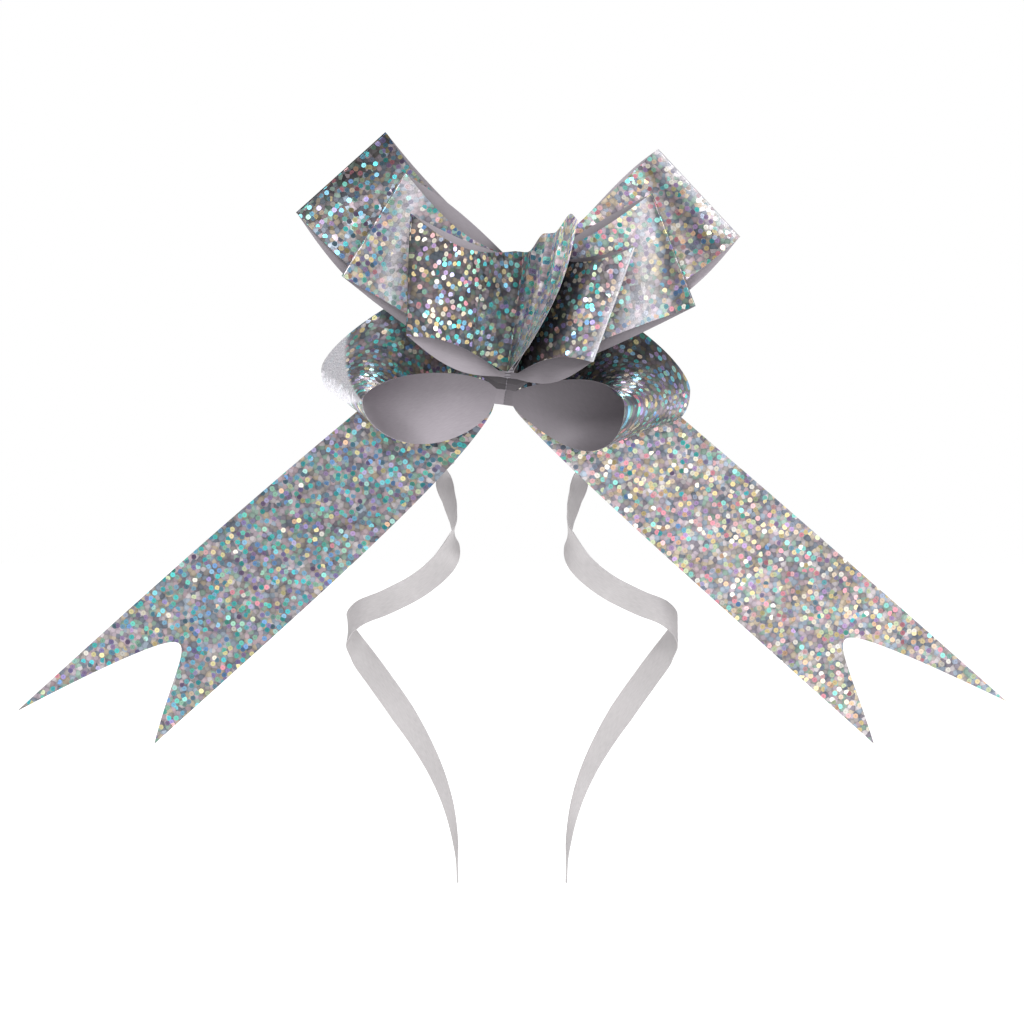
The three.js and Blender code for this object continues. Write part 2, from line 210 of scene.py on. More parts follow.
# ---------------------------------------------------------------- painted light and shade, and tint, of each film piece
# Three values each, at the waist, half way out and at the fold or tip:
# ground: painted brightness of the film between the bright dots. dots: painted brightness of the bright dots.
# Both are light and shade painted into the colour.
# warmth: share of them that are cream, pink and gold rather than teal, blue and lilac.
LIGHT_AND_TINT = {
    "loop_left_1": dict(ground=(0.14, 0.25, 0.26), dots=(0.60, 0.90, 0.90), warmth=(0.25, 0.2, 0.15)),
    "loop_right_1": dict(ground=(0.08, 0.10, 0.28), dots=(0.50, 0.52, 0.95), warmth=(0.25, 0.2, 0.2)),
    "loop_left_2": dict(ground=(0.26, 0.38, 0.34), dots=(0.50, 0.60, 0.55), warmth=(0.15, 0.55, 0.35)),
    "loop_right_2": dict(ground=(0.32, 0.46, 0.60), dots=(0.60, 0.85, 0.95), warmth=(0.25, 0.8, 0.85)),
    "loop_left_3": dict(ground=(0.26, 0.42, 0.40), dots=(0.60, 0.65, 0.65), warmth=(0.3, 0.25, 0.4)),
    "loop_right_3": dict(ground=(0.26, 0.54, 0.60), dots=(0.60, 0.95, 1.0), warmth=(0.4, 0.7, 0.6)),
    "loop_left_4": dict(ground=(0.15, 0.11, 0.16), dots=(0.50, 0.80, 0.85), warmth=(0.3, 0.6, 0.75)),
    "loop_right_4": dict(ground=(0.07, 0.15, 0.28), dots=(0.42, 0.75, 0.9), warmth=(0.3, 0.6, 0.7)),
    "tail_left": dict(ground=(0.32, 0.30, 0.36), dots=(0.56, 0.68, 0.72), warmth=(0.12, 0.08, 0.12)),
    "tail_right": dict(ground=(0.48, 0.42, 0.42), dots=(0.92, 0.94, 0.94), warmth=(0.85, 0.92, 0.93)),
    "end_tab_front": dict(ground=(0.34, 0.62, 0.74), dots=(0.60, 0.95, 1.1), warmth=(0.25, 0.25, 0.3)),
    "end_tab_rear": dict(ground=(0.34, 0.56, 0.66), dots=(0.60, 0.85, 1.0), warmth=(0.25, 0.25, 0.3)),
}
# Bands across a piece: where each lies along the low and the high rim, how wide it is there, and its
# strength. A glare is a painted highlight that washes the colour out, and a shade is painted shade that
# darkens it.
GLARES = {
    "loop_left_3": [(0.72, 0.92, 0.05, 0.09, 0.5)],
    "loop_right_3": [(0.68, 0.93, 0.12, 0.05, 0.55)],
    "loop_right_4": [(1.0, 1.0, 0.05, 0.05, 0.6)],
    "loop_right_2": [(1.0, 1.0, 0.02, 0.02, 0.8)],
}
SHADES = {
    "loop_left_2": [(1.0, 1.0, 0.12, 0.14, 0.85)],
    "loop_right_2": [(0.90, 0.90, 0.06, 0.06, 0.7)],
    "loop_right_3": [(0.95, 1.0, 0.09, 0.02, 0.7), (0.2, 0.2, 0.3, 0.3, 0.5)],
    "loop_left_4": [(1.0, 1.0, 0.05, 0.05, 0.4), (0, 0, 0.05, 0.05, 0.75)],
    "loop_right_4": [(0.1, 0.2, 0.3, 0.4, 0.65)],
    "end_tab_front": [(0, 0, 0.10, 0.10, 0.75)],
}
# Painted light and shade on the unprinted side: its tone over most of a loop, and how much of it is left in
# the painted shade of the crease at the waist.
INSIDE_PAINTED_TONE = {
    "loop_left_1": (1.12, 1.0),
    "loop_right_1": (0.70, 1.0),
    "loop_left_2": (0.9, 0.3),
    "loop_right_2": (1.3, 0.3),
    "loop_left_3": (0.9, 0.3),
    "loop_right_3": (0.9, 0.3),
    "loop_left_4": (1.05, 0.8),
    "loop_right_4": (0.75, 0.8),
}
# The tone in the crease at the waist is painted shade.
TONE_RISE = (0.05, 0.28)  # shares of the way out between which the tone rises from the crease's to its own
SHADE_ON_DOTS = 0.6  # a shade darkens the bright dots by this share of what it takes off the ground
# The painted highlight on the bright round end: where it starts along the low and the high rim, its strength,
# and its soft edge.
GLARE_END_LOOP = "loop_left_1"
GLARE_END_FROM = (1.0, 0.63)
GLARE_END_STRENGTH = 0.92
GLARE_END_EDGE = (-0.03, 0.02)
# Where each piece starts on the film's pattern, so that no two pieces show the same dots.
LOOP_PATTERN_STEP = 0.3
TAIL_PATTERN = 1.5
TAB_PATTERN = 2.2

# ---------------------------------------------------------------- worked out from the sizes above
ALONG_WELD = Vector((math.sin(WELD_TILT), 0, math.cos(WELD_TILT)))
ACROSS_WELD = Vector((math.cos(WELD_TILT), 0, -math.sin(WELD_TILT)))
FORWARD = Vector((0, -1, 0))
UP = Vector((0, 0, 1))
STRING_AXIS = FORWARD * math.cos(STRING_RISE) + ALONG_WELD * math.sin(STRING_RISE)
ROOT_OFFSET = PIECE_GAP + RIBBON_WIDTH / 2 * math.sin(FREE_SWING)
ROOT_DEPTH = WELD_THICKNESS / 2 + PIECE_GAP + CAD_FILM_THICKNESS / 2
PULL_OFFSET = (PIECE_GAP + PULL_THICKNESS) / 2
STRING_SECTION = PULL_WIDTH / math.cos(STRING_RISE)
SLOT_LENGTH = STRING_SECTION + WELD_THICKNESS * math.tan(STRING_RISE) + 2 * PIECE_GAP
EXIT_LENGTH = WELD_THICKNESS + (WELD_COUNT - 1) * WELD_PLAY
PULL_CLEAR = STRING_SECTION / 2 * math.sin(PULL_SWING)
FASTENING = ALONG_WELD * ((SLOT_LENGTH + RIBBON_WIDTH) / 4) + Vector((0, WELD_THICKNESS / 2, 0))


def waist_middle(level):
    """The middle of a weld, counted from 0 at the back."""
    travelled = 0 if level == 0 else FIRST_PITCH + (level - 1) * LATER_PITCH
    return STRING_AXIS * travelled


def waist_point(level, share):
    """A point of a weld's middle line: share runs from 0 at its lower end to 1 at its upper end."""
    return waist_middle(level) + ALONG_WELD * ((share - 0.5) * RIBBON_WIDTH)


def shares(steps):
    """Evenly from 0 to 1, both included."""
    return [step / steps for step in range(steps + 1)]


def ease(low, high, value):
    """0 below low, 1 above high, smooth between them."""
    part = min(1, max(0, (value - low) / (high - low)))
    return part * part * (3 - 2 * part)


def three_way(values, travel):
    """Smoothly from the first value at 0 through the second at one half to the third at 1."""
    first = values[0] + (values[1] - values[0]) * ease(0, 0.5, travel)
    return first + (values[2] - values[1]) * ease(0.5, 1, travel)


# ---------------------------------------------------------------- camera
CAMERA_DISTANCE = 1.2
CAMERA_HEIGHT = -0.0530
FRAME_WIDTH = 0.26624  # what the frame takes in at the rearmost waist's distance
SENSOR_MM = 36


def add_camera():
    data = bpy.data.cameras.new("camera")
    data.sensor_width = SENSOR_MM
    data.lens = SENSOR_MM * CAMERA_DISTANCE / FRAME_WIDTH
    camera = bpy.data.objects.new("camera", data)
    bpy.context.collection.objects.link(camera)
    camera.location = (-FASTENING.x, -FASTENING.y - CAMERA_DISTANCE, CAMERA_HEIGHT)
    camera.rotation_euler = (math.radians(90), 0, 0)
    bpy.context.scene.camera = camera


# ---------------------------------------------------------------- materials
class Tree:
    """A material's node tree, with a short way to add and join its nodes."""

    def __init__(self, name):
        self.material = bpy.data.materials.new(name)
        self.material.use_nodes = True
        self.nodes = self.material.node_tree.nodes
        self.links = self.material.node_tree.links
        self.shader = self.nodes["Principled BSDF"]

    def set(self, **values):
        for name, value in values.items():
            self.shader.inputs[name.replace("_", " ")].default_value = value

    def put(self, value, socket):
        if isinstance(value, bpy.types.NodeSocket):
            self.links.new(value, socket)
        else:
            socket.default_value = value

    def add(self, kind, settings=None, **inputs):
        node = self.nodes.new(kind)
        for name, value in (settings or {}).items():
            setattr(node, name, value)
        for name, value in inputs.items():
            self.put(value, node.inputs[name.replace("_", " ")])
        return node

    def maths(self, operation, first, second=0.0, third=0.0):
        node = self.add("ShaderNodeMath", {"operation": operation})
        for index, value in enumerate((first, second, third)):
            self.put(value, node.inputs[index])
        return node.outputs[0]

    def span(self, value, from_low, from_high, to_low=0.0, to_high=1.0):
        """A value's smooth way from one pair of limits to another."""
        node = self.add("ShaderNodeMapRange", {"interpolation_type": "SMOOTHSTEP"})
        for index, part in enumerate((value, from_low, from_high, to_low, to_high)):
            self.put(part, node.inputs[index])
        return node.outputs[0]

    def blend(self, factor, first, second, kind="MIX"):
        node = self.add("ShaderNodeMix", {"data_type": "RGBA", "blend_type": kind})
        self.put(factor, node.inputs[0])
        self.put(first, node.inputs[6])
        self.put(second, node.inputs[7])
        return node.outputs[2]

    def grey(self, value):
        node = self.add("ShaderNodeCombineColor")
        for index in range(3):
            self.put(value, node.inputs[index])
        return node.outputs[0]

    def palette(self, position, colours):
        """One of the colours, each over an equal part of the way from 0 to 1."""
        node = self.add("ShaderNodeValToRGB")
        ramp = node.color_ramp
        ramp.interpolation = "CONSTANT"
        while len(ramp.elements) < len(colours):
            ramp.elements.new(0.5)
        for index, colour in enumerate(colours):
            ramp.elements[index].position = index / len(colours)
            ramp.elements[index].color = (*colour, 1)
        self.put(position, node.inputs[0])
        return node.outputs[0]


COOL_DOTS = [
    (0.11, 0.62, 0.68),
    (0.20, 0.50, 0.68),
    (0.16, 0.58, 0.48),
    (0.20, 0.38, 0.70),
    (0.36, 0.30, 0.60),
    (0.38, 0.68, 0.52),
    (0.24, 0.66, 0.74),
    (0.30, 0.22, 0.38),
    (0.46, 0.42, 0.66),
    (0.12, 0.68, 0.66),
    (0.92, 0.84, 0.45),
    (0.20, 0.34, 0.44),
    (0.30, 0.56, 0.78),
    (0.42, 0.72, 0.66),
]
WARM_DOTS = [
    (0.88, 0.74, 0.44),
    (0.86, 0.56, 0.38),
    (0.80, 0.33, 0.40),
    (0.90, 0.84, 0.70),
    (0.72, 0.58, 0.30),
    (0.90, 0.72, 0.56),
    (0.46, 0.32, 0.56),
    (0.36, 0.86, 0.78),
    (0.92, 0.88, 0.80),
    (0.62, 0.70, 0.46),
    (0.84, 0.50, 0.52),
    (0.30, 0.34, 0.44),
]
GROUND_DOTS = [
    (1.06, 0.90, 1.02),
    (0.78, 0.92, 1.10),
    (0.72, 1.00, 0.86),
    (1.15, 0.90, 0.98),
    (0.50, 0.56, 0.68),
    (1.18, 1.00, 0.78),
    (0.62, 0.56, 0.66),
    (1.30, 1.20, 1.24),
    (0.80, 0.74, 0.72),
]
# Millimetres: the pitch between the middles of neighbouring dots, and their radius, for the bright dots
# and for the dim ones of the ground.
DOT_PITCH = 1.62
DOT_RADIUS = 0.70
GROUND_PITCH = 1.25
GROUND_RADIUS = 0.62
DOT_EDGE = 0.86  # share of the radius from which a dot fades out
DOT_LEAN = 0.28  # how far each dot's normal may lean
EMPTY_SHARE = 0.30  # share of the places that have no bright dot


def dot_layer(tree, place, pitch, radius, shift):
    """One layer of round dots: how far inside a dot a point lies, its distance from the dot's middle, and
    the dot's three chances, apart and as a colour."""
    moved = tree.add("ShaderNodeMapping", Vector=place, Location=(shift, shift * 1.7, 0)).outputs[0]
    cells = tree.add("ShaderNodeTexVoronoi", {"voronoi_dimensions": "2D"}, Vector=moved, Scale=1 / pitch)
    distance = tree.maths("MULTIPLY", cells.outputs["Distance"], pitch)
    inside = tree.span(distance, radius, radius * DOT_EDGE)
    chances = tree.add("ShaderNodeSeparateColor", Color=cells.outputs["Color"])
    return inside, distance, chances, cells.outputs["Color"]


def dot_film_material():
    """Metallised film printed with fine round dots, each with its own tint and its own lie, under light,
    shade and highlight painted in from each point's look.
    """
    tree = Tree("dot_film")
    place = tree.add("ShaderNodeUVMap", {"uv_map": "film"}).outputs[0]
    look = tree.add("ShaderNodeAttribute", {"attribute_name": "look"})
    parts = tree.add("ShaderNodeSeparateColor", Color=look.outputs["Color"])
    ground_light, dot_light, warmth = parts.outputs[0], parts.outputs[1], parts.outputs[2]
    glare = look.outputs["Alpha"]

    inside, distance, chances, cell_colour = dot_layer(tree, place, DOT_PITCH, DOT_RADIUS, 3.1)
    ground_layer = dot_layer(tree, place, GROUND_PITCH, GROUND_RADIUS, 17.3)
    ground_inside, _, ground_chances, ground_colour = ground_layer

    cloud = tree.add("ShaderNodeTexNoise", Vector=place, Scale=0.09, Detail=3.0, Roughness=0.6).outputs["Fac"]
    patchy = tree.span(cloud, 0.35, 0.65, 0.8, 1.2)
    tint = tree.palette(ground_chances.outputs[0], GROUND_DOTS)
    dim = tree.maths("MULTIPLY", tree.span(ground_inside, 0, 1, 0.8, 1.05), patchy)
    ground = tree.blend(1.0, tint, tree.grey(tree.maths("MULTIPLY", dim, ground_light)), "MULTIPLY")

    cool = tree.palette(chances.outputs[0], COOL_DOTS)
    warm = tree.palette(chances.outputs[0], WARM_DOTS)
    tinted = tree.blend(tree.maths("LESS_THAN", chances.outputs[2], warmth), cool, warm)
    ring = tree.span(distance, 0.05, 0.30, 0.74, 1.0)
    strength = tree.span(chances.outputs[1], 0.25, 0.95, 0.62, 1.3)
    brightness = tree.maths("MULTIPLY", tree.maths("MULTIPLY", ring, strength), dot_light)
    dots = tree.blend(1.0, tinted, tree.grey(brightness), "MULTIPLY")
    shown = tree.maths("MULTIPLY", inside, tree.maths("GREATER_THAN", chances.outputs[1], EMPTY_SHARE))
    printed = tree.blend(shown, ground, dots)
    # Painted highlight: where glare is set, the print is washed out to a speckled pale grey.
    speckle = tree.add("ShaderNodeTexNoise", Vector=place, Scale=2.6, Detail=2.0).outputs["Fac"]
    glare_colour = tree.blend(tree.span(speckle, 0.35, 0.65), (0.58, 0.57, 0.62, 1), (0.92, 0.90, 0.95, 1))
    washed = tree.blend(glare, printed, glare_colour)
    tree.links.new(washed, tree.shader.inputs["Base Color"])

    # Each dot and each patch of ground leans its own way, so that they catch the light apart.
    lean = tree.blend(shown, ground_colour, cell_colour)
    centred = tree.add("ShaderNodeVectorMath", {"operation": "SUBTRACT"})
    tree.put(lean, centred.inputs[0])
    centred.inputs[1].default_value = (0.5, 0.5, 0.5)
    scaled = tree.add("ShaderNodeVectorMath", {"operation": "SCALE"})
    tree.put(centred.outputs[0], scaled.inputs[0])
    scaled.inputs["Scale"].default_value = DOT_LEAN
    leaning = tree.add("ShaderNodeVectorMath", {"operation": "ADD"})
    tree.put(scaled.outputs[0], leaning.inputs[0])
    tree.put(tree.add("ShaderNodeNewGeometry").outputs["Normal"], leaning.inputs[1])
    level = tree.add("ShaderNodeVectorMath", {"operation": "NORMALIZE"})
    tree.put(leaning.outputs[0], level.inputs[0])
    tree.links.new(level.outputs[0], tree.shader.inputs["Normal"])
    tree.links.new(tree.span(shown, 0, 1, 0.36, 0.26), tree.shader.inputs["Roughness"])
    tree.set(Metallic=0.72)
    return tree.material


def satin_material(name, colour, grain_scale, roughness):
    """The plain unprinted back of the film: a soft grey sheen with a fine lengthways grain, darkened row by
    row by painted light and shade.
    """
    tree = Tree(name)
    place = tree.add("ShaderNodeUVMap", {"uv_map": "film"}).outputs[0]
    drawn = tree.add("ShaderNodeMapping", Vector=place, Scale=(3.2, 0.35, 1)).outputs[0]
    grain = tree.add("ShaderNodeTexNoise", Vector=drawn, Scale=grain_scale, Detail=4.0).outputs["Fac"]
    broad = tree.add("ShaderNodeTexNoise", Vector=place, Scale=0.05, Detail=2.0).outputs["Fac"]
    fine_tone = tree.span(grain, 0.3, 0.7, 0.93, 1.06)
    broad_tone = tree.span(broad, 0.3, 0.7, 0.95, 1.05)
    tone = tree.maths("MULTIPLY", fine_tone, broad_tone)
    # Painted light and shade: each row's tone, darker in the crease at the waist.
    row_tone = tree.add("ShaderNodeAttribute", {"attribute_name": "inside"}).outputs["Fac"]
    tone = tree.maths("MULTIPLY", tone, row_tone)
    tinted = tree.blend(1.0, (*colour, 1), tree.grey(tone), "MULTIPLY")
    tree.links.new(tinted, tree.shader.inputs["Base Color"])
    rough = tree.span(grain, 0.3, 0.7, roughness - 0.05, roughness + 0.06)
    tree.links.new(rough, tree.shader.inputs["Roughness"])
    bump = tree.add("ShaderNodeBump", Height=grain, Strength=0.12, Distance=0.00004)
    tree.links.new(bump.outputs[0], tree.shader.inputs["Normal"])
    tree.set(Metallic=0.3)
    return tree.material


def weld_material():
    """Film pressed together by a ribbed sealing bar."""
    tree = Tree("sealed_film")
    place = tree.add("ShaderNodeTexCoord").outputs["Object"]
    ribs = tree.add("ShaderNodeTexWave", {"bands_direction": "Z"}, Vector=place, Scale=420.0, Distortion=0.4)
    grain = tree.add("ShaderNodeTexNoise", Vector=place, Scale=900.0, Detail=4.0).outputs["Fac"]
    tone = tree.span(tree.maths("MULTIPLY", ribs.outputs["Fac"], grain), 0.1, 0.6, 0.75, 1.1)
    tinted = tree.blend(1.0, (0.30, 0.28, 0.31, 1), tree.grey(tone), "MULTIPLY")
    tree.links.new(tinted, tree.shader.inputs["Base Color"])
    bump = tree.add("ShaderNodeBump", Height=ribs.outputs["Fac"], Strength=0.5, Distance=0.0001)
    tree.links.new(bump.outputs[0], tree.shader.inputs["Normal"])
    tree.links.new(tree.span(grain, 0.3, 0.7, 0.28, 0.42), tree.shader.inputs["Roughness"])
    tree.set(Metallic=0.7)
    return tree.material


def string_material():
    """The pull ribbon's film where it runs through the waists, on object coordinates."""
    tree = Tree("string_film")
    place = tree.add("ShaderNodeTexCoord").outputs["Object"]
    grain = tree.add("ShaderNodeTexNoise", Vector=place, Scale=1500.0, Detail=4.0).outputs["Fac"]
    tone = tree.span(grain, 0.3, 0.7, 0.94, 1.05)
    tinted = tree.blend(1.0, (0.60, 0.57, 0.58, 1), tree.grey(tone), "MULTIPLY")
    tree.links.new(tinted, tree.shader.inputs["Base Color"])
    tree.links.new(tree.span(grain, 0.3, 0.7, 0.38, 0.48), tree.shader.inputs["Roughness"])
    tree.set(Metallic=0.4)
    return tree.material


# ---------------------------------------------------------------- closed film pieces
def skin_normals(rows):
    """The film's direction at each point of the grid."""
    last_row = len(rows) - 1
    last_column = len(rows[0]) - 1
    normals = []
    for i, row in enumerate(rows):
        line = []
        for j in range(len(row)):
            run = rows[min(i + 1, last_row)][j] - rows[max(i - 1, 0)][j]
            across = row[min(j + 1, last_column)] - row[max(j - 1, 0)]
            line.append(run.cross(across).normalized())
        normals.append(line)
    return normals


def grid_faces(row_count, width):
    """Faces of two skins, the first on the normals' side, and of the wall round their edge."""
    count = row_count * width
    first_skin, second_skin, wall = [], [], []
    for i in range(row_count - 1):
        for j in range(width - 1):
            a = i * width + j
            b = a + width
            first_skin.append((a, b, b + 1, a + 1))
            second_skin.append((count + a, count + a + 1, count + b + 1, count + b))
    for i in range(row_count - 1):
        first = i * width
        last = first + width - 1
        wall.append((first, count + first, count + first + width, first + width))
        wall.append((last, last + width, count + last + width, count + last))
    for j in range(width - 1):
        last = (row_count - 1) * width + j
        wall.append((j, j + 1, count + j + 1, count + j))
        wall.append((last, count + last, count + last + 1, last + 1))
    return first_skin, second_skin, wall


def flat_places(rows):
    """Where each point lies on the flat film, across and along, and the length of the middle line.
    The middle line keeps its length, and each row its own lengths square to the run and along it."""
    middle = len(rows[0]) // 2
    last = len(rows) - 1
    length = 0.0
    places = []
    for i, row in enumerate(rows):
        if i:
            length += (row[middle] - rows[i - 1][middle]).length
        line = [Vector((0, length))] * len(row)
        for direction in (1, -1):
            here = Vector((0, length))
            j = middle
            while 0 <= j + direction < len(row):
                run = (rows[min(i + 1, last)][j] - rows[max(i - 1, 0)][j]).normalized()
                step = row[j + direction] - row[j]
                along = step.dot(run)
                square = math.sqrt(max(0, step.length_squared - along * along))
                here = here + Vector((square * direction, along))
                j += direction
                line[j] = here
        places.append(line)
    return places, length


def film_piece(name, rows, thickness, materials, looks=None, reverse=False, uv_start=0.0, tones=None):
    """A closed piece of film. materials are those of the normals' side, of the other side and of the edge.
    rows run along the film, and their points across it. tones holds each row's painted light and shade on the
    unprinted side."""
    if reverse:
        rows = [row[::-1] for row in rows]
        looks = None if looks is None else [line[::-1] for line in looks]
    row_count = len(rows)
    columns = len(rows[0])
    normals = skin_normals(rows)
    points = []
    for direction in (0.5, -0.5):
        for row, line in zip(rows, normals):
            for point, normal in zip(row, line):
                points.append(point + normal * (thickness * direction) - FASTENING)
    first_skin, second_skin, wall = grid_faces(row_count, columns)
    mesh = bpy.data.meshes.new(name)
    mesh.from_pydata(points, [], first_skin + second_skin + wall)
    kinds = [0] * len(first_skin) + [1] * len(second_skin) + [2] * len(wall)
    mesh.polygons.foreach_set("material_index", kinds)
    for material in materials:
        mesh.materials.append(material)

    places, length = flat_places(rows)
    half = row_count * columns
    film_map = mesh.uv_layers.new(name="film")
    for corner in mesh.loops:
        row, column = divmod(corner.vertex_index % half, columns)
        across, along = places[row][column]
        film_map.data[corner.index].uv = (across * MILLIMETRES, (along + uv_start) * MILLIMETRES)
    tone = mesh.attributes.new("inside", "FLOAT", "POINT")
    one_skin = [row_tone for row_tone in tones or [1.0] * row_count for _ in range(columns)]
    tone.data.foreach_set("value", one_skin * 2)
    if looks is not None:
        attribute = mesh.color_attributes.new("look", "FLOAT_COLOR", "POINT")
        flat = [value for _ in range(2) for line in looks for colour in line for value in colour]
        attribute.data.foreach_set("color", flat)
    mesh.validate()
    mesh.update()
    piece = bpy.data.objects.new(name, mesh)
    bpy.context.collection.objects.link(piece)
    bpy.ops.object.select_all(action="DESELECT")
    bpy.context.view_layer.objects.active = piece
    piece.select_set(True)
    bpy.ops.object.shade_smooth_by_angle(angle=SMOOTH_ANGLE)
    return piece, length


def band_strength(bands, travel, share):
    """How strong the strongest of a piece's bands is at a place."""
    total = 0.0
    for low, high, low_width, high_width, strength in bands:
        centre = low + (high - low) * share
        width = low_width + (high_width - low_width) * share
        total = max(total, strength * math.exp(-(((travel - centre) / width) ** 2)))
    return total


def look_at(name, travel, share):
    """Painted light and shade of the ground and of the dots, their warmth, and the painted highlight (glare)
    of the printed side at a place on a piece.
    """
    # The ground and dot brightness are painted light and shade; warmth is the print's tint.
    light_and_tint = LIGHT_AND_TINT[name]
    ground, dots, warmth = (three_way(light_and_tint[key], travel) for key in ("ground", "dots", "warmth"))
    glare = band_strength(GLARES.get(name, []), travel, share)
    shade = band_strength(SHADES.get(name, []), travel, share)
    # Painted highlight washing out the bright round end.
    if name == GLARE_END_LOOP:
        edge = GLARE_END_FROM[0] + (GLARE_END_FROM[1] - GLARE_END_FROM[0]) * share
        glare = GLARE_END_STRENGTH * ease(edge + GLARE_END_EDGE[0], edge + GLARE_END_EDGE[1], travel)
    return ground * (1 - shade), dots * (1 - SHADE_ON_DOTS * shade), warmth, glare


# ---------------------------------------------------------------- loops
def flutter(point, seed, amount):
    """A slight unevenness of the film, the same each time."""
    return FORWARD * (amount * noise.noise(point * FLUTTER_SCALE + Vector((seed, 0, 0))))


def loop_fold(spec, side, share):
    """A point of the line where a loop turns back."""
    waist = (waist_middle(spec["level"]) + waist_middle(spec["level"] + 1)) / 2
    fan = math.radians(spec["fan"])
    tilt = math.radians(spec["tilt"])
    swing = math.radians(spec["swing"])
    middle = Vector((
        waist.x + side * spec["reach"] * math.cos(fan),
        -spec["fold_depth"],
        waist.z + spec["reach"] * math.sin(fan),
    ))
    direction = Vector((
        -side * math.sin(tilt) * math.cos(swing),
        math.sin(swing),
        math.cos(tilt) * math.cos(swing),
    ))
    return middle + direction * ((share - 0.5) * RIBBON_WIDTH)


def rim_puff(rim, crest, travel):
    """How far forward and up one rim stands out at this travel."""
    own_crest = rim[2] if len(rim) > 2 else crest
    return Vector((rim[0], rim[1])) * math.sin(math.pi * travel ** (math.log(0.5) / math.log(own_crest)))


def leg_point(spec, side, is_front, share, travel):
    """A point of one leg: travel runs from 0 at the waist to 1 at the fold."""
    level = spec["level"] + 1 if is_front else spec["level"]
    turn = 1 if is_front else -1
    root = waist_point(level, share) + ACROSS_WELD * (side * ROOT_OFFSET) - FORWARD * (turn * ROOT_DEPTH)
    fold = loop_fold(spec, side, share)
    low = spec["front_low"] if is_front else spec["rear_low"]
    high = spec["front_high"] if is_front else spec["rear_high"]
    low_puff = rim_puff(low, spec["crest"], travel)
    high_puff = rim_puff(high, spec["crest"], travel)
    puff = low_puff.lerp(high_puff, share)
    reached = 1 - (1 - travel) ** 2 if spec["is_round"] else travel
    point = root.lerp(fold, reached)
    if spec["is_round"]:
        point.y = root.y + (fold.y - root.y) * reached ** COME_FORWARD
    else:
        point += FORWARD * (turn * CREASE_RADIUS * travel)
    return point + FORWARD * puff.x + UP * puff.y


def seal_point(level, side, turn, share, part):
    """A point of the strip sealed to the weld: part runs from 0 at the seam to 1 at the free film."""
    seam = waist_point(level, share) + ACROSS_WELD * (side * SEAM_GAPS[level]) - FORWARD * (turn * WELD_SKIN)
    free = waist_point(level, share) + ACROSS_WELD * (side * ROOT_OFFSET) - FORWARD * (turn * ROOT_DEPTH)
    return seam.lerp(free, part)


def add_loop(name, spec, materials):
    side = -1 if "left" in name else 1
    across = shares(ACROSS_STEPS)
    level = spec["level"]
    rows, looks, tones = [], [], []
    full_tone, waist_share = INSIDE_PAINTED_TONE[name]

    def add_row(points, travel):
        rows.append(points)
        # Painted shade in the crease at the waist, rising to each loop's painted tone.
        tones.append(full_tone * (waist_share + (1 - waist_share) * ease(*TONE_RISE, travel)))
        looks.append([look_at(name, travel, share) for share in across])

    def leg_row(is_front, travel):
        row = []
        for share in across:
            point = leg_point(spec, side, is_front, share, travel)
            row.append(point + flutter(point, level, LOOP_FLUTTER * math.sin(math.pi * travel)))
        return row

    for part in shares(SEAL_STEPS)[:-1]:
        add_row([seal_point(level, side, -1, share, part) for share in across], 0)
    for travel in shares(LEG_STEPS):
        add_row(leg_row(False, travel), travel)
    if not spec["is_round"]:
        fan = math.radians(spec["fan"])
        outward = Vector((side * math.cos(fan), 0, math.sin(fan)))
        for turned in shares(CREASE_STEPS)[1:-1]:
            angle = math.pi * turned
            bend = outward * (CREASE_RADIUS * math.sin(angle)) - FORWARD * (CREASE_RADIUS * math.cos(angle))
            add_row([loop_fold(spec, side, share) + bend for share in across], 1)
    back = shares(LEG_STEPS)[::-1]
    for travel in back[1:] if spec["is_round"] else back:
        add_row(leg_row(True, travel), travel)
    for part in shares(SEAL_STEPS)[:-1][::-1]:
        add_row([seal_point(level + 1, side, 1, share, part) for share in across], 0)

    pattern = LOOP_PATTERN_STEP * (level + (0.5 if side > 0 else 0))
    piece, length = film_piece(
        name + "_film", rows, FILM_THICKNESS, materials, looks,
        reverse=side > 0, uv_start=pattern, tones=tones,
    )
    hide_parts(name)
    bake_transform(piece)
    return piece


# ---------------------------------------------------------------- tails
def tail_end(share, length):
    """Share of the tail's length at which the forked end cuts this part of the width."""
    from_middle = abs(2 * share - 1)
    rounded = math.sqrt(from_middle ** 2 + TAIL_NOTCH_ROUND ** 2) - TAIL_NOTCH_ROUND
    most = math.sqrt(1 + TAIL_NOTCH_ROUND ** 2) - TAIL_NOTCH_ROUND
    return (length - TAIL_NOTCH_DEPTH * (1 - rounded / most)) / length


